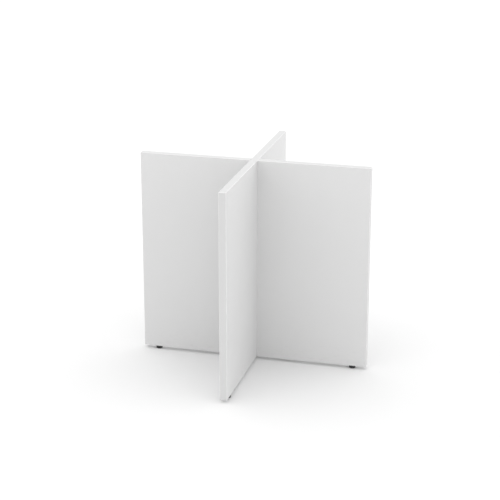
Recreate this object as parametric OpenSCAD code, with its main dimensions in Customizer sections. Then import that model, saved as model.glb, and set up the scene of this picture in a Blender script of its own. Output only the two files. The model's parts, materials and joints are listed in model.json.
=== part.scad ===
// Free-standing cross-shaped partition at desk height, made of faced board.
// One through panel runs along Y. Two wings run along X and butt against its faces.
// Double-ended bolts and cams pull the wings together through the through panel.
// Millimetres, +Z up. The origin is on the floor under the centre of the crossing.

/* [Overall] */
// Length of the through panel, front end to back end
through_length = 800; // [600:10:1400]
// Width over both wings, left end to right end
wing_span = 800; // [600:10:1400]
// Height of the top edge above the floor
height = 720; // [500:10:1400]

/* [Boards] */
// Thickness of every board
board_t = 25; // [20:1:32]
// Clear gap between the boards and the floor
floor_gap = 11; // [10:0.5:16]

/* [Edge bands] */
// Thickness of the bands on the tops and upright ends
band_t = 2; // [1:0.5:3]
// Radius of the long edges of those bands
band_r = 1.5; // [0.5:0.1:2.5]
// Thickness of the bands under the boards
base_band_t = 1; // [0.5:0.5:2]
// Radius of the long edges of the bands under the boards
base_band_r = 0.8; // [0.2:0.1:1.5]

/* [Cam fittings] */
// Height of the outer cams above the boards' bottoms, and below their tops
cam_end_inset = 74; // [60:1:120]
// Distance from a wing's inner end to the middle of its cams
cam_backset = 34; // [24:1:40]
// Diameter of a cam
cam_d = 15; // [12:0.5:20]
// Depth of a cam's open face below the wing's face
cam_recess = 0.5; // [0.2:0.1:1]
// Thickness of the cam's floor, below the space for the bolt's head
cam_floor_t = 0.7; // [0.5:0.1:2]
// Diameter of the bolt's shank and of its heads
bolt_d = 7; // [6:0.1:8.5]
// Diameter of the bolt's neck, behind each head
bolt_neck_d = 4.6; // [3.5:0.1:5.6]
// Length of each bolt head
bolt_head_length = 3; // [2:0.1:4]
// Overlap of a cover cap's rim on the face around its cam
cap_overlap = 1.5; // [1:0.1:4]
// Thickness of the cover cap's rim
cap_rim_t = 1.2; // [0.8:0.1:2]
// Length of the peg behind a cover cap
cap_peg_length = 2; // [1:0.1:3]
// Diameter of the peg behind a cover cap
cap_peg_d = 5; // [3:0.5:6]

/* [Dowels] */
// Diameter of a dowel
dowel_d = 8; // [6:1:12]
// Length of a dowel inside each wing
dowel_depth = 30; // [20:1:50]
// Height between a cam and the dowel beside it
dowel_offset = 32; // [24:1:64]

/* [Feet] */
// Distance from a board's end to the middle of its foot
foot_inset = 50; // [30:1:120]
// Diameter of the glide and of the adjusting ring above it
foot_d = 22; // [18:1:25]
// Thickness of the glide that rests on the floor
glide_t = 3; // [2.5:0.1:4]
// Number of grip grooves around the adjusting ring
grip_count = 16; // [8:1:24]
// Radius of a grip groove
grip_r = 1; // [0.5:0.1:1.5]
// Outer diameter of the screw
screw_d = 8; // [6:0.1:10]
// Travel of a foot, from screwed right in to screwed right out
foot_travel = 10; // [5:1:12]
// Length of screw still inside the board when the foot is right out
screw_grip = 14; // [10:1:20]
// Diameter of the ball under the screw
ball_d = 6; // [4.8:0.1:7.2]
// Diameter of the neck above the ball
ball_neck_d = 4.2; // [3:0.1:4.6]
// Reach of the glide's socket above the middle of the ball
socket_wrap = 1.3; // [1:0.1:1.6]
// Wall of the socket around the ball
socket_wall = 2; // [1.2:0.1:3]
// Width across the flats of the screw's hexagonal collar
collar_flats = 10; // [8:0.1:12]
// Thickness of that collar
collar_t = 1.5; // [1:0.1:2.5]

/* [Insert nuts] */
// Wall of an insert nut's barrel between its ribs
nut_wall = 1.2; // [0.8:0.1:2]
// Height of the ribs around the barrel
nut_rib_depth = 0.75; // [0.3:0.05:1]
// Spacing of those ribs
nut_rib_pitch = 4; // [3:0.5:6]
// Length of the barrel inside the board
nut_length = 20; // [15:1:25]
// Width of an insert nut's flange beyond its barrel
nut_flange = 3; // [1.5:0.1:3.5]
// Thickness of that flange, which is let in flush
nut_flange_t = 1; // [0.5:0.1:1.5]

/* [Clearances] */
// Radial clearance of a turning or sliding fit
running = 0.05; // [0.02:0.01:0.1]
// Radial clearance of a piece seated in its hole
seated = 0.05; // [0.02:0.01:0.1]
// Radial clearance of a bolt's shank in its hole
bolt_free = 0.5; // [0.3:0.05:1]
// Free space between parts that move past each other
free_gap = 0.4; // [0.3:0.05:0.6]

/* [Hidden] */
$fn = 64;
cut = 1;

// Sides of the crossing, as angles about Z
FRONT = -90;
BACK = 90;
LEFT = 180;
RIGHT = 0;
ALL_SIDES = [FRONT, BACK, LEFT, RIGHT];

board_bottom = floor_gap;
core_bottom = board_bottom + base_band_t;
core_top = height - band_t;
core_h = core_top - core_bottom;
board_h = height - board_bottom;
half_t = board_t / 2;

// Rows of fittings up the joint between the wings and the through panel
cam_rows = [
  board_bottom + cam_end_inset,
  board_bottom + board_h / 2,
  height - cam_end_inset
];
dowel_bevel = 1;
dowel_tip_d = dowel_d - 2 * dowel_bevel;
dowel_rows = [
  cam_rows[0] + dowel_offset,
  cam_rows[1] - dowel_offset,
  cam_rows[1] + dowel_offset,
  cam_rows[2] - dowel_offset
];

// Bolt, outwards from the middle of the through panel
cam_x = half_t + cam_backset;
bolt_hole_d = bolt_d + 2 * bolt_free;
bolt_centring_d = bolt_hole_d - 2 * running;
head_past_cam_middle = 0.7;
head_end = cam_x - head_past_cam_middle;
head_start = head_end - bolt_head_length;
neck_start = cam_x - cam_d / 2 - 1;
head_bevel = 0.8;

// Cam: its axis lies along Y and it is let in from the wing's back face
cavity_r = norm([cam_x - head_start, bolt_d / 2]) + running;
cavity_half = bolt_d / 2 + 2 * free_gap;
cam_back = half_t - cam_recess;
cam_length = cam_back + cavity_half + cam_floor_t;
cam_pocket_d = cam_d + 2 * seated;
cam_pocket_bottom = cam_back - cam_length - seated;
driver_width = 1.3;
driver_depth = cap_peg_length + free_gap;

// Cover cap
cap_d = cam_d + 2 * cap_overlap;
cap_top_d = cap_d - 2 * cap_rim_t;
cap_edge_t = 0.4 * cap_rim_t;
cap_peg_end = -cam_recess - cap_peg_length;
cap_peg_bevel = 0.3;

// Foot, from the floor up
socket_floor = 1;
ball_r = ball_d / 2;
socket_r = ball_r + running;
ball_z = socket_floor + socket_r;
boss_top = ball_z + socket_wrap;
boss_r = socket_r + socket_wall;
ring_bottom = glide_t + free_gap;
ring_top = board_bottom - free_gap;
collar_bottom = ring_top - collar_t;
screw_top = board_bottom + foot_travel + screw_grip;
screw_tip = 1;
foot_chamfer = 0.5;

// Insert nut and the holes in the board around it
nut_core_d = screw_d + 2 * running + 2 * nut_wall;
nut_d = nut_core_d + 2 * nut_rib_depth;
nut_flange_d = nut_d + 2 * nut_flange;
hole_end_space = 0.5;
nut_hole_top = board_bottom + nut_length + hole_end_space;
screw_hole_top = max(screw_top, nut_hole_top) + hole_end_space;

function foot_distance(side) =
  (side == FRONT || side == BACK ? through_length : wing_span) / 2 - foot_inset;

// Carries its children to the foot at one side of the crossing
module at_foot(side) {
  rotate([0, 0, side]) translate([foot_distance(side), 0, 0]) children();
}

// What rounding takes off a square corner, about the centre of the rounding
module corner_waste(radius) {
  difference() {
    square(radius + cut);
    circle(r = radius);
  }
}

// Cross-section of a band, its back on the X axis and its outer corners rounded
module band_section(width, thickness, radius) {
  difference() {
    translate([-width / 2, 0]) square([width, thickness]);
    for (flip = [0, 1])
      mirror([flip, 0])
        translate([width / 2 - radius, thickness - radius]) corner_waste(radius);
  }
}

// Rectangle centred on the X axis, from x0 to x1, with the corners at x1 rounded
module end_outline(x0, x1, width, radius) {
  difference() {
    translate([x0, -width / 2]) square([x1 - x0, width]);
    for (flip = [0, 1])
      mirror([0, flip]) translate([x1 - radius, width / 2 - radius]) corner_waste(radius);
  }
}

// Upright band on the end of a board that reaches x_end along +X
module upright_band(x_end) {
  translate([x_end - band_t, 0, board_bottom])
    linear_extrude(core_top - board_bottom)
      rotate(-90) band_section(board_t, band_t, band_r);
}

// Top band from x0 to x_end along +X, rounded along its sides and at its outer end
module top_band(x0, x_end) {
  intersection() {
    translate([x0, 0, core_top])
      rotate([90, 0, 90])
        linear_extrude(x_end - x0) band_section(board_t, band_t, band_r);
    translate([0, 0, core_top - cut])
      linear_extrude(band_t + 2 * cut) end_outline(x0 - cut, x_end, board_t, band_r);
    translate([0, board_t, core_top])
      rotate([90, 0, 0])
        linear_extrude(2 * board_t) end_side_view(x0 - cut, x_end);
  }
}

// Side view of a top band, with the upper corner of its outer end rounded
module end_side_view(x0, x1) {
  difference() {
    translate([x0, -cut]) square([x1 - x0, band_t + cut]);
    translate([x1 - band_r, band_t - band_r]) corner_waste(band_r);
  }
}

// Band under a board, from x0 to x1 along X
module bottom_band(x0, x1) {
  translate([x0, 0, core_bottom])
    rotate([-90, 0, -90])
      linear_extrude(x1 - x0) band_section(board_t, base_band_t, base_band_r);
}

// Holes for one foot: the seats of the insert nut and its flange, and the space for the screw's tip
module foot_hole() {
  translate([0, 0, board_bottom - cut])
    cylinder(h = nut_flange_t + cut, d = nut_flange_d + 2 * seated);
  translate([0, 0, board_bottom - cut])
    cylinder(h = nut_hole_top - board_bottom + cut, d = nut_d + 2 * seated);
  translate([0, 0, board_bottom])
    cylinder(h = screw_hole_top - board_bottom, d = screw_d + 2 * free_gap);
}

// Bolt and dowel holes along X, from one end to the other
module joint_holes(x0, x1, dowel_x1) {
  for (z = cam_rows)
    translate([x0, 0, z]) rotate([0, 90, 0]) cylinder(h = x1 - x0, d = bolt_hole_d);
  for (z = dowel_rows)
    translate([x0, 0, z])
      rotate([0, 90, 0]) cylinder(h = dowel_x1 - x0, d = dowel_d + 2 * seated);
}

// Board of a wing along +X, its cam pockets opening at +Y for a pocket_side of 1, or at -Y for -1
module wing_core(pocket_side) {
  difference() {
    translate([half_t, -half_t, core_bottom])
      cube([wing_span / 2 - band_t - half_t, board_t, core_h]);
    joint_holes(half_t - cut, cam_x, half_t + dowel_depth + free_gap);
    for (z = cam_rows)
      translate([cam_x, pocket_side * cam_pocket_bottom, z])
        rotate([-90 * pocket_side, 0, 0])
          cylinder(h = half_t - cam_pocket_bottom + cut, d = cam_pocket_d);
    translate([foot_distance(RIGHT), 0, 0]) foot_hole();
  }
}

// One cam, its axis along Z, its open face at z = 0 and its bolt coming from -X
module cam() {
  bolt_z = -cam_back;
  difference() {
    translate([0, 0, -cam_length]) cylinder(h = cam_length, d = cam_d);
    // Space in which the bolt's head sits
    translate([0, 0, bolt_z - cavity_half]) cylinder(h = 2 * cavity_half, r = cavity_r);
    // Slot for the bolt's neck
    translate([-cam_d, -bolt_neck_d / 2 - free_gap, bolt_z - bolt_neck_d / 2 - free_gap])
      cube([cam_d, bolt_neck_d + 2 * free_gap, bolt_neck_d + 2 * free_gap]);
    // Way in for the bolt's head before the cam is turned
    translate([0, 0, bolt_z])
      rotate([90, 0, 0]) cylinder(h = cam_d, d = bolt_d + 2 * free_gap);
    // Seat of the cover cap's peg, and the cross for a screwdriver
    translate([0, 0, -driver_depth]) cylinder(h = driver_depth + cut, d = cap_peg_d + 2 * seated);
    for (turn = [0, 90])
      rotate([0, 0, turn])
        translate([-cap_peg_d, -driver_width / 2, -driver_depth])
          cube([2 * cap_peg_d, driver_width, driver_depth + cut]);
  }
}

// Cover cap, its rim standing on z = 0 and its peg below
module cap() {
  rotate_extrude()
    polygon([
      [0, cap_peg_end],
      [cap_peg_d / 2 - cap_peg_bevel, cap_peg_end],
      [cap_peg_d / 2, cap_peg_end + cap_peg_bevel],
      [cap_peg_d / 2, 0],
      [cap_d / 2, 0],
      [cap_d / 2, cap_edge_t],
      [cap_top_d / 2, cap_rim_t],
      [0, cap_rim_t]
    ]);
}

// Carries a fitting drawn about Z to each cam of the wing at the side given
module at_cams(side) {
  for (z = cam_rows)
    translate([side * cam_x, 0, z]) mirror([side < 0 ? 1 : 0, 0, 0]) rotate([-90, 0, 0]) children();
}

// One double-ended bolt along X, centred on the through panel
module bolt() {
  for (turn = [0, 180]) rotate([0, 90 + turn, 0]) half_bolt();
}

// Half of a bolt along Z: centring sleeve, shank, neck and head
module half_bolt() {
  rotate_extrude()
    polygon([
      [0, 0],
      [bolt_centring_d / 2, 0],
      [bolt_centring_d / 2, half_t - head_bevel],
      [bolt_d / 2, half_t],
      [bolt_d / 2, neck_start - head_bevel],
      [bolt_neck_d / 2, neck_start],
      [bolt_neck_d / 2, head_start],
      [bolt_d / 2, head_start],
      [bolt_d / 2, head_end - head_bevel],
      [bolt_d / 2 - head_bevel, head_end],
      [0, head_end]
    ]);
}

module through_panel() {
  length = through_length - 2 * band_t;
  color("white")
    difference() {
      translate([-half_t, -length / 2, core_bottom]) cube([board_t, length, core_h]);
      joint_holes(-half_t - cut, half_t + cut, half_t + cut);
      for (side = [FRONT, BACK]) at_foot(side) foot_hole();
    }
}

module wing_left() {
  color("white") rotate([0, 0, 180]) wing_core(-1);
}

module wing_right() {
  color("white") wing_core(1);
}

module through_top_band() {
  color("whitesmoke")
    for (side = [FRONT, BACK]) rotate([0, 0, side]) top_band(0, through_length / 2);
}

module through_bottom_band() {
  x_end = through_length / 2 - band_t;
  color("whitesmoke")
    difference() {
      rotate([0, 0, BACK]) bottom_band(-x_end, x_end);
      for (side = [FRONT, BACK]) at_foot(side) foot_hole();
    }
}

module through_front_band() {
  color("whitesmoke") rotate([0, 0, FRONT]) upright_band(through_length / 2);
}

module through_back_band() {
  color("whitesmoke") rotate([0, 0, BACK]) upright_band(through_length / 2);
}

// The three bands of a wing, for the wing at the side given
module wing_top_band(side) {
  color("whitesmoke") rotate([0, 0, side]) top_band(half_t, wing_span / 2);
}

module wing_bottom_band(side) {
  color("whitesmoke")
    difference() {
      rotate([0, 0, side]) bottom_band(half_t, wing_span / 2 - band_t);
      at_foot(side) foot_hole();
    }
}

module wing_end_band(side) {
  color("whitesmoke") rotate([0, 0, side]) upright_band(wing_span / 2);
}

module left_top_band() { wing_top_band(LEFT); }
module left_bottom_band() { wing_bottom_band(LEFT); }
module left_end_band() { wing_end_band(LEFT); }
module right_top_band() { wing_top_band(RIGHT); }
module right_bottom_band() { wing_bottom_band(RIGHT); }
module right_end_band() { wing_end_band(RIGHT); }

module cam_bolts() {
  color("silver") for (z = cam_rows) translate([0, 0, z]) bolt();
}

module cam_housings() {
  color("silver")
    for (side = [-1, 1]) at_cams(side) translate([0, 0, cam_back]) cam();
}

module cam_caps() {
  color("white")
    for (side = [-1, 1]) at_cams(side) translate([0, 0, half_t]) cap();
}

module dowels() {
  length = board_t + 2 * dowel_depth;
  color("burlywood")
    for (z = dowel_rows)
      translate([-length / 2, 0, z])
        rotate([0, 90, 0]) {
          cylinder(h = dowel_bevel, d1 = dowel_tip_d, d2 = dowel_d);
          translate([0, 0, dowel_bevel]) cylinder(h = length - 2 * dowel_bevel, d = dowel_d);
          translate([0, 0, length - dowel_bevel])
            cylinder(h = dowel_bevel, d1 = dowel_d, d2 = dowel_tip_d);
        }
}

// One insert nut: a flange flush with the board's bottom, and a ribbed barrel driven in above it
module insert_nut() {
  difference() {
    translate([0, 0, board_bottom]) {
      cylinder(h = nut_flange_t, d = nut_flange_d);
      cylinder(h = nut_length, d = nut_core_d);
      for (z = [nut_flange_t : nut_rib_pitch : nut_length - nut_rib_pitch + nut_flange_t])
        translate([0, 0, z]) cylinder(h = nut_rib_pitch - 1, d1 = nut_d, d2 = nut_core_d);
    }
    translate([0, 0, board_bottom - cut])
      cylinder(h = nut_length + 2 * cut, d = screw_d + 2 * running);
  }
}

module insert_nuts() {
  color("silver") for (side = ALL_SIDES) at_foot(side) insert_nut();
}

// Glide: a disc on the floor, with a boss whose socket holds the screw's ball
module glide() {
  difference() {
    union() {
      cylinder(h = foot_chamfer, d1 = foot_d - 2 * foot_chamfer, d2 = foot_d);
      translate([0, 0, foot_chamfer]) cylinder(h = glide_t - foot_chamfer, d = foot_d);
      translate([0, 0, foot_chamfer]) cylinder(h = boss_top - foot_chamfer, r = boss_r);
    }
    translate([0, 0, ball_z]) sphere(r = socket_r);
  }
}

// Adjusting ring: a grooved grip fixed on the screw's collar and hollow over the glide's boss
module ring() {
  difference() {
    union() {
      translate([0, 0, ring_bottom])
        cylinder(h = ring_top - ring_bottom - foot_chamfer, d = foot_d);
      translate([0, 0, ring_top - foot_chamfer])
        cylinder(h = foot_chamfer, d1 = foot_d, d2 = foot_d - 2 * foot_chamfer);
    }
    translate([0, 0, ring_bottom - cut])
      cylinder(h = collar_bottom - ring_bottom + cut, r = boss_r + free_gap);
    translate([0, 0, collar_bottom - cut])
      cylinder(h = collar_t + 2 * cut, d = across_corners(collar_flats + 2 * seated), $fn = 6);
    for (i = [0 : grip_count - 1])
      rotate([0, 0, i * 360 / grip_count])
        translate([foot_d / 2 + grip_r / 2, 0, ring_bottom - cut])
          cylinder(h = ring_top - ring_bottom + 2 * cut, r = grip_r);
  }
}

function across_corners(flats) = flats / cos(30);

// Screw: the ball, its neck, the hexagonal collar and the shank, its thread drawn plain
module screw() {
  translate([0, 0, ball_z]) sphere(r = ball_r);
  translate([0, 0, ball_z]) cylinder(h = collar_bottom - ball_z + collar_t / 2, d = ball_neck_d);
  translate([0, 0, collar_bottom])
    cylinder(h = collar_t, d = across_corners(collar_flats), $fn = 6);
  translate([0, 0, collar_bottom + collar_t / 2])
    cylinder(h = screw_top - screw_tip - collar_bottom - collar_t / 2, d = screw_d);
  translate([0, 0, screw_top - screw_tip])
    cylinder(h = screw_tip, d1 = screw_d, d2 = screw_d - 2 * screw_tip);
}

module glide_at(side) {
  color("black") at_foot(side) glide();
}

module ring_at(side) {
  color("dimgray") at_foot(side) ring();
}

module screw_at(side) {
  color("silver") at_foot(side) screw();
}

module glide_front() { glide_at(FRONT); }
module glide_back() { glide_at(BACK); }
module glide_left() { glide_at(LEFT); }
module glide_right() { glide_at(RIGHT); }
module ring_front() { ring_at(FRONT); }
module ring_back() { ring_at(BACK); }
module ring_left() { ring_at(LEFT); }
module ring_right() { ring_at(RIGHT); }
module screw_front() { screw_at(FRONT); }
module screw_back() { screw_at(BACK); }
module screw_left() { screw_at(LEFT); }
module screw_right() { screw_at(RIGHT); }

through_panel();
wing_left();
wing_right();
through_top_band();
through_bottom_band();
through_front_band();
through_back_band();
left_top_band();
left_bottom_band();
left_end_band();
right_top_band();
right_bottom_band();
right_end_band();
cam_bolts();
cam_housings();
cam_caps();
dowels();
insert_nuts();
glide_front();
glide_back();
glide_left();
glide_right();
ring_front();
ring_back();
ring_left();
ring_right();
screw_front();
screw_back();
screw_left();
screw_right();
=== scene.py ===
import json
from math import asin, cos, pi, radians, sin, tau

import bmesh
import bpy
from mathutils import Matrix, Vector

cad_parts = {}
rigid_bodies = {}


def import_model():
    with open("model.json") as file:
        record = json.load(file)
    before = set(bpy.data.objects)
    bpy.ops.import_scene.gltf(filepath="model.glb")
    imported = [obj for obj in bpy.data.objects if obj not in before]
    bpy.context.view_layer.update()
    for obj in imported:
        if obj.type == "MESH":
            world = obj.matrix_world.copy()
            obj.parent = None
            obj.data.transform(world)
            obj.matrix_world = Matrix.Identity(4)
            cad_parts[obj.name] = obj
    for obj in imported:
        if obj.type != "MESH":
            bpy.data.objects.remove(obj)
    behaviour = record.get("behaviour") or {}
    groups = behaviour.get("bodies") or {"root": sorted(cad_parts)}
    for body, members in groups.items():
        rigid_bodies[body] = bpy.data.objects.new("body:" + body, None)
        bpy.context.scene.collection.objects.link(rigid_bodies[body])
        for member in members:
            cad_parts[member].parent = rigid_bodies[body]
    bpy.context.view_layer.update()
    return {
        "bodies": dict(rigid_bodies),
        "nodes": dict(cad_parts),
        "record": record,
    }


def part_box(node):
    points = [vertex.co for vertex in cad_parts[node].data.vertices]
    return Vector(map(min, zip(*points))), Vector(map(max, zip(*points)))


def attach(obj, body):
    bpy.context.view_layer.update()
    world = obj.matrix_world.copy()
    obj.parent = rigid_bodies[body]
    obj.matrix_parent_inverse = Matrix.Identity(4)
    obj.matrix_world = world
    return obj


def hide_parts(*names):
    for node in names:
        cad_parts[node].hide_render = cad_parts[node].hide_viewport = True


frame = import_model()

SIDES = ("front", "back", "left", "right")

# Camera. It looks at a point above the origin, moved a little sideways in its own view.
CAMERA_AZIMUTH = radians(14.867)
CAMERA_ELEVATION = radians(18.907)
CAMERA_DISTANCE = 5.2351
TARGET_HEIGHT = 0.3981
TARGET_SIDEWAYS = -0.0153
LENS_MM = 109.83
SENSOR_MM = 36.0

# Studio light: even white all round, and more of it from both sides. Bounces are those off dull surfaces.
LIGHT_ALL_ROUND = 1.18
LIGHT_SIDES = 0.47
LIGHT_BOUNCES = 2

# Half the width of the floor
FLOOR_HALF = 20.0

# Least angle between two faces of a made piece that stays a sharp edge
SHARP_ANGLE = radians(35)

# How light each surface is, from 0 for black to 1 for white. The highlight tone is a highlight painted on a
# band's rounded edges.
BOARD_TONE = 0.63
BAND_TONE = 0.565
PAINTED_HIGHLIGHT_TONE = 0.88
CAP_TONE = 0.61
FLOOR_TONE = 0.785

# Screw of a levelling foot. The widths of its thread's crest and root are shares of the pitch.
SCREW_R = 0.004
BALL_R = 0.003
NECK_R = 0.0021
COLLAR_FLATS = 0.010
COLLAR_T = 0.0015
COLLAR_EASE = 0.00025
COLLAR_EASE_T = 0.00015
TIP_BEVEL = 0.001
THREAD_DEPTH = 0.00068
CREST_HALF_WIDTH = 1 / 16
ROOT_HALF_WIDTH = 1 / 8
BALL_FLAT_ANGLE = radians(12)
BALL_STEPS = 14
SCREW_COLUMNS = 36
ROWS_PER_PITCH = 12

# Cover cap of a cam
CAP_R = 0.009
CAP_RIM_T = 0.0012
CAP_EDGE_T = 0.00035
CAP_ROUNDING = 0.0011
CAP_ROUNDING_STEPS = 6
CAP_CROWN = 0.0001
CAP_PEG_R = 0.0025
CAP_PEG_LENGTH = 0.0025
CAP_PEG_BEVEL = 0.0003
CAP_DIMPLE_R = 0.001
CAP_DIMPLE_DEPTH = 0.0001
CAP_COLUMNS = 48


# ---------------------------------------------------------------- node trees

class Tree:
    """The node tree of a material or of the world, with a short call for each kind of node that it needs."""

    def __init__(self, owner):
        owner.use_nodes = True
        self.nodes = owner.node_tree.nodes
        self.links = owner.node_tree.links
        where = self.nodes.new("ShaderNodeTexCoord")
        self.place = where.outputs["Object"]
        self.normal = where.outputs["Normal"]
        self.direction = where.outputs["Generated"]

    def put(self, socket, value):
        """Links a socket to another node's output, or sets it to a number or a colour."""
        if isinstance(value, bpy.types.NodeSocket):
            self.links.new(value, socket)
        elif isinstance(value, tuple):
            socket.default_value = (*value, 1.0)
        else:
            socket.default_value = value

    def look(self, **values):
        """Sets the sockets of a material's shader by name, with _ for a space."""
        shader = self.nodes["Principled BSDF"]
        for name, value in values.items():
            self.put(shader.inputs[name.replace("_", " ")], value)

    def stretch(self, factors):
        """Object coordinates multiplied along X, Y and Z."""
        node = self.nodes.new("ShaderNodeMapping")
        self.put(node.inputs["Vector"], self.place)
        node.inputs["Scale"].default_value = factors
        return node.outputs["Vector"]

    def noise(self, size, detail=2.0, factors=None):
        """Noise with features about size across, longer along an axis whose factor is below 1."""
        node = self.nodes.new("ShaderNodeTexNoise")
        self.put(node.inputs["Vector"], self.stretch(factors) if factors else self.place)
        node.inputs["Scale"].default_value = 1.0 / size
        node.inputs["Detail"].default_value = detail
        return node.outputs["Fac"]

    def remap(self, value, low, high, to_low, to_high):
        """The value carried from low..high to to_low..to_high, and held there."""
        node = self.nodes.new("ShaderNodeMapRange")
        self.put(node.inputs["Value"], value)
        node.inputs["From Min"].default_value = low
        node.inputs["From Max"].default_value = high
        node.inputs["To Min"].default_value = to_low
        node.inputs["To Max"].default_value = to_high
        return node.outputs["Result"]

    def math(self, operation, first, second=0.0, third=0.0):
        """One step of arithmetic. MULTIPLY_ADD gives first x second + third."""
        node = self.nodes.new("ShaderNodeMath")
        node.operation = operation
        for socket, value in zip(node.inputs, (first, second, third)):
            self.put(socket, value)
        return node.outputs["Value"]

    def parts(self, vector):
        """The X, Y and Z of a vector."""
        node = self.nodes.new("ShaderNodeSeparateXYZ")
        self.put(node.inputs["Vector"], vector)
        return [node.outputs[axis] for axis in "XYZ"]

    def blend(self, factor, first, second):
        """The colour factor of the way from first to second."""
        node = self.nodes.new("ShaderNodeMix")
        node.data_type = "RGBA"
        self.put(node.inputs[0], factor)
        self.put(node.inputs[6], first)
        self.put(node.inputs[7], second)
        return node.outputs[2]

    def bump(self, height, depth, under=None):
        """A normal from a height between 0 and 1 that stands for depth, laid over another bump."""
        node = self.nodes.new("ShaderNodeBump")
        node.inputs["Distance"].default_value = depth
        self.put(node.inputs["Height"], height)
        if under:
            self.put(node.inputs["Normal"], under)
        return node.outputs["Normal"]

    def rounded_edge(self):
        """1 on a rounded edge, where the surface leans between two axes, and 0 where it faces along one."""
        x, y, z = (self.math("ABSOLUTE", part) for part in self.parts(self.normal))
        straight = self.math("MAXIMUM", self.math("MAXIMUM", x, y), z)
        return self.remap(straight, 0.75, 0.99, 1.0, 0.0)

    def near_floor(self, reach):
        """1 at the boards' lower edges, falling to 0 at reach above the floor."""
        height = self.parts(self.place)[2]
        return self.remap(height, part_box("through_bottom_band")[0].z, reach, 1.0, 0.0)


# ---------------------------------------------------------------- materials

def grey(tone, warmth=0.0):
    """A grey, with that share of its blue taken away."""
    return (tone, tone * (1.0 - warmth / 3), tone * (1.0 - warmth))


def melamine():
    """White melamine face: pearl texture, faint mottling, and scuffs near the floor."""
    material = bpy.data.materials.new("melamine")
    t = Tree(material)
    tone = t.blend(t.noise(0.25, detail=3.0), grey(0.985 * BOARD_TONE, 0.003), grey(1.02 * BOARD_TONE))
    speckle = t.remap(t.noise(0.0012), 0.35, 0.7, 0.0, 0.3)
    tone = t.blend(speckle, tone, grey(0.96 * BOARD_TONE))
    patches = t.remap(t.noise(0.018, detail=4.0, factors=(1.0, 1.0, 2.5)), 0.55, 0.75, 0.0, 0.2)
    scuffs = t.math("MULTIPLY", t.near_floor(0.09), patches)
    tone = t.blend(scuffs, tone, grey(0.68 * BOARD_TONE, 0.03))
    roughness = t.remap(t.noise(0.09, detail=4.0), 0.3, 0.7, 0.4, 0.52)
    pearl = t.bump(t.noise(0.0009, detail=1.0), 0.00003)
    t.look(Base_Color=tone, Roughness=roughness, Normal=pearl, IOR=1.5)
    return material


def edge_band(name, factors):
    """ABS edge band, drawn along its length, with a highlight painted on its rounded edges, which are also
    shinier.
    The small factor is the one along its length."""
    material = bpy.data.materials.new(name)
    t = Tree(material)
    drawn = t.noise(0.0007, detail=2.0, factors=factors)
    tone = t.blend(t.noise(0.12, detail=3.0), grey(0.985 * BAND_TONE, 0.003), grey(1.02 * BAND_TONE))
    tone = t.blend(t.remap(drawn, 0.4, 0.7, 0.0, 0.3), tone, grey(0.95 * BAND_TONE))
    unevenly = t.remap(t.noise(0.03, detail=4.0), 0.3, 0.7, 0.6, 1.0)
    # Painted highlight: the rounded edges are painted paler, unevenly, and the same mask makes them shinier.
    painted_highlight = t.math("MULTIPLY", t.rounded_edge(), unevenly)
    tone = t.blend(painted_highlight, tone, grey(PAINTED_HIGHLIGHT_TONE))
    roughness = t.remap(painted_highlight, 0.0, 1.0, 0.42, 0.3)
    grain = t.bump(drawn, 0.00002)
    t.look(Base_Color=tone, Roughness=roughness, Normal=grain, IOR=1.5)
    return material


def cap_plastic():
    """White moulded plastic: spark-eroded texture, slight tone changes, and shinier rubbed edges."""
    material = bpy.data.materials.new("white_plastic")
    t = Tree(material)
    tone = t.blend(t.noise(0.006, detail=3.0), grey(0.98 * CAP_TONE, 0.004), grey(1.02 * CAP_TONE))
    patches = t.remap(t.noise(0.003, detail=3.0), 0.4, 0.65, 0.0, 1.0)
    rubbed = t.math("MULTIPLY", t.rounded_edge(), patches)
    texture = t.bump(t.noise(0.00045), 0.00002)
    t.look(Base_Color=tone, Roughness=t.remap(rubbed, 0.0, 1.0, 0.42, 0.3), Normal=texture, IOR=1.49)
    return material


def foot_plastic():
    """Black moulded plastic, with pale dust near the floor and shinier where its edges are rubbed."""
    material = bpy.data.materials.new("black_plastic")
    t = Tree(material)
    tone = t.blend(t.noise(0.006, detail=3.0), (0.018, 0.018, 0.019), (0.03, 0.03, 0.031))
    dust = t.remap(t.noise(0.0022, detail=4.0), 0.5, 0.75, 0.0, 0.35)
    low = t.remap(t.parts(t.place)[2], 0.0, 0.005, 1.0, 0.15)
    tone = t.blend(t.math("MULTIPLY", dust, low), tone, (0.2, 0.195, 0.19))
    rubbed = t.math("MULTIPLY", t.rounded_edge(), t.remap(t.noise(0.002), 0.4, 0.6, 0.0, 1.0))
    texture = t.bump(t.noise(0.0004, detail=2.0), 0.00003)
    t.look(Base_Color=tone, Roughness=t.remap(rubbed, 0.0, 1.0, 0.5, 0.34), Normal=texture, IOR=1.49)
    return material


def zinc_plate():
    """Bright zinc plating on steel: soft spangle, faint drawing marks and dull patches."""
    material = bpy.data.materials.new("zinc_plate")
    t = Tree(material)
    spangle = t.noise(0.0011, detail=3.0)
    tone = t.blend(spangle, (0.56, 0.57, 0.585), (0.68, 0.685, 0.69))
    dull = t.remap(t.noise(0.004, detail=4.0), 0.5, 0.75, 0.0, 0.5)
    tone = t.blend(dull, tone, (0.5, 0.5, 0.49))
    roughness = t.remap(t.noise(0.0018, detail=3.0), 0.3, 0.7, 0.24, 0.42)
    marks = t.bump(t.noise(0.00025, detail=2.0, factors=(1.0, 1.0, 4.0)), 0.000012)
    t.look(Base_Color=tone, Metallic=1.0, Roughness=roughness, Normal=marks)
    return material


def cast_zinc():
    """Die-cast zinc: grey, grainy and a little uneven."""
    material = bpy.data.materials.new("cast_zinc")
    t = Tree(material)
    tone = t.blend(t.noise(0.002, detail=4.0), (0.4, 0.4, 0.41), (0.52, 0.52, 0.53))
    roughness = t.remap(t.noise(0.001, detail=3.0), 0.3, 0.7, 0.42, 0.6)
    grain = t.bump(t.noise(0.0004, detail=3.0), 0.00005)
    t.look(Base_Color=tone, Metallic=1.0, Roughness=roughness, Normal=grain)
    return material


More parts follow.
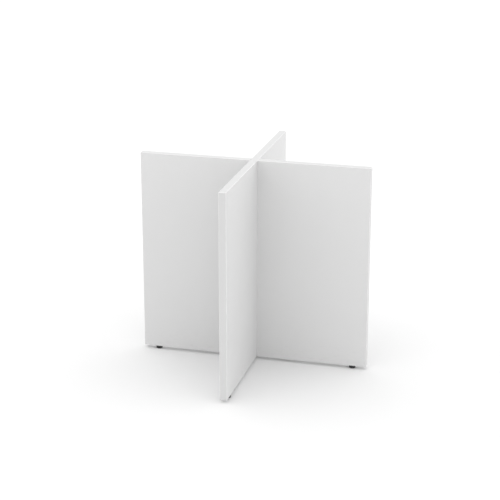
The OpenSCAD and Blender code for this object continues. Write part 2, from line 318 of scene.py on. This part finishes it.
def beech():
    """Beech dowel, its grain and flutes along X."""
    material = bpy.data.materials.new("beech")
    t = Tree(material)
    grain = t.noise(0.0009, detail=5.0, factors=(0.06, 1.0, 1.0))
    tone = t.blend(grain, (0.5, 0.33, 0.19), (0.7, 0.52, 0.34))
    flecks = t.remap(t.noise(0.0004, factors=(0.25, 1.0, 1.0)), 0.62, 0.7, 0.0, 0.5)
    tone = t.blend(flecks, tone, (0.36, 0.22, 0.12))
    t.look(Base_Color=tone, Roughness=t.remap(grain, 0.3, 0.7, 0.55, 0.75), Normal=t.bump(grain, 0.00008))
    return material


def floor_paint():
    """Plain white studio floor."""
    material = bpy.data.materials.new("studio_floor")
    t = Tree(material)
    tone = t.blend(t.noise(0.6), grey(FLOOR_TONE), grey(1.005 * FLOOR_TONE))
    t.look(Base_Color=tone, Roughness=0.9, Specular_IOR_Level=0.0)
    return material


def dress(node, material):
    """Gives a carried-over CAD node a material."""
    frame["nodes"][node].material_slots[0].material = material


# ---------------------------------------------------------------- meshes

def ring(height, radii):
    """Points around +Z at a height, one for each radius."""
    step = tau / len(radii)
    return [Vector((r * cos(i * step), r * sin(i * step), height)) for i, r in enumerate(radii)]


def round_ring(height, radius, columns):
    """Points around +Z at a height, all at one radius."""
    return ring(height, [radius] * columns)


def add_skin(mesh, rings, placed):
    """Adds one closed skin through rings of equally many points, with a flat face over each end ring."""
    rows = [[mesh.verts.new(placed @ point) for point in points] for points in rings]
    columns = len(rows[0])
    for low, high in zip(rows, rows[1:]):
        for i in range(columns):
            j = (i + 1) % columns
            mesh.faces.new((low[i], low[j], high[j], high[i]))
    mesh.faces.new(reversed(rows[0]))
    mesh.faces.new(rows[-1])


def finish_piece(name, mesh, material, body):
    """Makes a smooth-shaded object of a bmesh, dresses it and rides it on its body."""
    bmesh.ops.recalc_face_normals(mesh, faces=mesh.faces)
    data = bpy.data.meshes.new(name)
    mesh.to_mesh(data)
    mesh.free()
    data.shade_smooth()
    data.set_sharp_from_angle(angle=SHARP_ANGLE)
    piece = bpy.data.objects.new(name, data)
    bpy.context.scene.collection.objects.link(piece)
    data.materials.append(material)
    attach(piece, body)
    return piece


def hexagon(flats):
    """Radii of a hexagon at each column of the screw, with a corner on +X."""
    corners = [(i * tau / SCREW_COLUMNS) % (tau / 6) - tau / 12 for i in range(SCREW_COLUMNS)]
    return [flats / 2 / cos(angle) for angle in corners]


def tooth(phase):
    """Height of a thread's profile, 0 at its root and 1 at its crest, as phase goes once from 0 to 1."""
    from_crest = abs(phase % 1.0 - 0.5)
    root_edge = 0.5 - ROOT_HALF_WIDTH
    return min(1.0, max(0.0, (root_edge - from_crest) / (root_edge - CREST_HALF_WIDTH)))


def thread_ring(height, start, end, pitch):
    """One ring of a right-hand thread, which runs out over one pitch at each end."""
    full = min(1.0, (height - start) / pitch, (end - height) / pitch)
    radii = []
    for i in range(SCREW_COLUMNS):
        cut = 1.0 - tooth(height / pitch - i / SCREW_COLUMNS)
        radii.append(SCREW_R - THREAD_DEPTH * cut * full)
    return ring(height, radii)


def ball_rings(middle):
    """The ball under a screw, from its bottom up to where the neck leaves it."""
    sweep = pi - asin(NECK_R / BALL_R) - BALL_FLAT_ANGLE
    turns = [BALL_FLAT_ANGLE + sweep * i / BALL_STEPS for i in range(BALL_STEPS + 1)]
    return [round_ring(middle - BALL_R * cos(a), BALL_R * sin(a), SCREW_COLUMNS) for a in turns]


def collar_rings(bottom):
    """The hexagonal collar, with its corners eased."""
    eased = hexagon(COLLAR_FLATS - 2 * COLLAR_EASE)
    sharp = hexagon(COLLAR_FLATS)
    top = bottom + COLLAR_T
    return [
        round_ring(bottom, NECK_R, SCREW_COLUMNS),
        ring(bottom, eased),
        ring(bottom + COLLAR_EASE_T, sharp),
        ring(top - COLLAR_EASE_T, sharp),
        ring(top, eased),
        round_ring(top, SCREW_R, SCREW_COLUMNS),
    ]


def screw(side, material):
    """A levelling screw with a cut thread, in place of the CAD's plain one."""
    low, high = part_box("screw_" + side)
    pitch = tau / frame["record"]["behaviour"]["couplings"][0]["ratio"]
    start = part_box("ring_" + side)[1].z
    end = high.z - TIP_BEVEL
    rows = int((end - start) / pitch * ROWS_PER_PITCH)
    rings = ball_rings(low.z + BALL_R)
    rings += collar_rings(start - COLLAR_T)
    rings += [thread_ring(start + (end - start) * i / rows, start, end, pitch) for i in range(1, rows + 1)]
    rings.append(round_ring(high.z, SCREW_R - TIP_BEVEL, SCREW_COLUMNS))
    mesh = bmesh.new()
    middle = (low + high) / 2
    add_skin(mesh, rings, Matrix.Translation((middle.x, middle.y, 0.0)))
    piece = finish_piece("threaded_screw_" + side, mesh, material, "screw_body_" + side)
    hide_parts("screw_" + side)


def cap_rings():
    """A cover cap about +Z: peg, rim with a rounded edge, low crown, and the moulding's dimple."""
    shoulder = CAP_RIM_T - CAP_CROWN - CAP_EDGE_T
    dimple_floor = CAP_RIM_T - CAP_DIMPLE_DEPTH
    rings = [(-CAP_PEG_LENGTH, CAP_PEG_R - CAP_PEG_BEVEL), (CAP_PEG_BEVEL - CAP_PEG_LENGTH, CAP_PEG_R)]
    rings += [(0.0, CAP_PEG_R), (0.0, CAP_R), (CAP_EDGE_T, CAP_R)]
    for i in range(1, CAP_ROUNDING_STEPS + 1):
        a = i / CAP_ROUNDING_STEPS * pi / 2
        rings.append((CAP_EDGE_T + shoulder * sin(a), CAP_R - CAP_ROUNDING * (1 - cos(a))))
    rings += [(CAP_RIM_T - 0.3 * CAP_CROWN, CAP_R / 2), (CAP_RIM_T, CAP_DIMPLE_R * 1.5)]
    rings += [(dimple_floor, CAP_DIMPLE_R), (dimple_floor, CAP_DIMPLE_R / 3)]
    return [round_ring(height, radius, CAP_COLUMNS) for height, radius in rings]


def cap_places():
    """The middle of each cover cap's seat on a wing's back face, from the box around the six CAD caps."""
    low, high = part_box("cam_caps")
    wing_face = high.y - CAP_RIM_T
    heights = (low.z + CAP_R, (low.z + high.z) / 2, high.z - CAP_R)
    return [Vector((x, wing_face, z)) for x in (low.x + CAP_R, high.x - CAP_R) for z in heights]


def cover_caps(material):
    """The six cover caps, in place of the CAD's plainer ones."""
    mesh = bmesh.new()
    facing_back = Matrix.Rotation(radians(-90), 4, "X")
    for place in cap_places():
        add_skin(mesh, cap_rings(), Matrix.Translation(place) @ facing_back)
    piece = finish_piece("moulded_caps", mesh, material, "cross")
    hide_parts("cam_caps")


# ---------------------------------------------------------------- stage

def floor():
    """A white floor that runs past the camera's view, and keeps below any foot that is screwed out."""
    corners = [(x * FLOOR_HALF, y * FLOOR_HALF, 0.0) for x, y in ((-1, -1), (1, -1), (1, 1), (-1, 1))]
    mesh = bpy.data.meshes.new("floor")
    mesh.from_pydata(corners, [], [(0, 1, 2, 3)])
    mesh.materials.append(floor_paint())
    plane = bpy.data.objects.new("floor", mesh)
    bpy.context.scene.collection.objects.link(plane)
    for side in SIDES:
        below = plane.constraints.new("FLOOR")
        below.target = frame["bodies"]["glide_body_" + side]
        below.floor_location = "FLOOR_NEGATIVE_Z"


def dome():
    """Soft white studio light from all round."""
    world = bpy.data.worlds.new("dome")
    t = Tree(world)
    x = t.parts(t.direction)[0]
    strength = t.math("MULTIPLY_ADD", t.math("ABSOLUTE", x), LIGHT_SIDES, LIGHT_ALL_ROUND)
    background = t.nodes["Background"]
    t.put(background.inputs["Strength"], strength)
    t.put(background.inputs["Color"], (1.0, 1.0, 1.0))
    bpy.context.scene.world = world


def camera():
    """The camera at the photograph's angle."""
    a, e = CAMERA_AZIMUTH, CAMERA_ELEVATION
    back = Vector((sin(a) * cos(e), -cos(a) * cos(e), sin(e)))
    target = Vector((cos(a), sin(a), 0.0)) * TARGET_SIDEWAYS + Vector((0.0, 0.0, TARGET_HEIGHT))
    data = bpy.data.cameras.new("camera")
    data.lens = LENS_MM
    data.sensor_width = SENSOR_MM
    seen = bpy.data.objects.new("camera", data)
    seen.location = target + back * CAMERA_DISTANCE
    seen.rotation_euler = back.to_track_quat("Z", "Y").to_euler()
    bpy.context.scene.collection.objects.link(seen)
    bpy.context.scene.camera = seen


# ---------------------------------------------------------------- the whole

def dress_boards():
    """Melamine for the panels, and edge band for the bands, drawn along each."""
    board = melamine()
    for node in ("through_panel", "wing_left", "wing_right"):
        dress(node, board)
    along_x = edge_band("edge_band_along_x", (0.02, 1.0, 1.0))
    along_y = edge_band("edge_band_along_y", (1.0, 0.02, 1.0))
    along_z = edge_band("edge_band_along_z", (1.0, 1.0, 0.02))
    for part in ("top_band", "bottom_band"):
        dress("through_" + part, along_y)
        dress("left_" + part, along_x)
        dress("right_" + part, along_x)
    for node in ("through_front_band", "through_back_band", "left_end_band", "right_end_band"):
        dress(node, along_z)


def dress_fittings():
    """Metal, wood and plastic for what holds the boards together and carries them."""
    plate = zinc_plate()
    dress("cam_bolts", plate)
    dress("insert_nuts", plate)
    dress("cam_housings", cast_zinc())
    dress("dowels", beech())
    cover_caps(cap_plastic())
    for side in SIDES:
        screw(side, plate)


def dress_feet():
    """Black plastic for the glides and their adjusting rings."""
    plastic = foot_plastic()
    for side in SIDES:
        dress("glide_" + side, plastic)
        dress("ring_" + side, plastic)


dress_boards()
dress_fittings()
dress_feet()
floor()
dome()
camera()
bpy.context.scene.view_settings.view_transform = "Standard"
bpy.context.scene.cycles.diffuse_bounces = LIGHT_BOUNCES
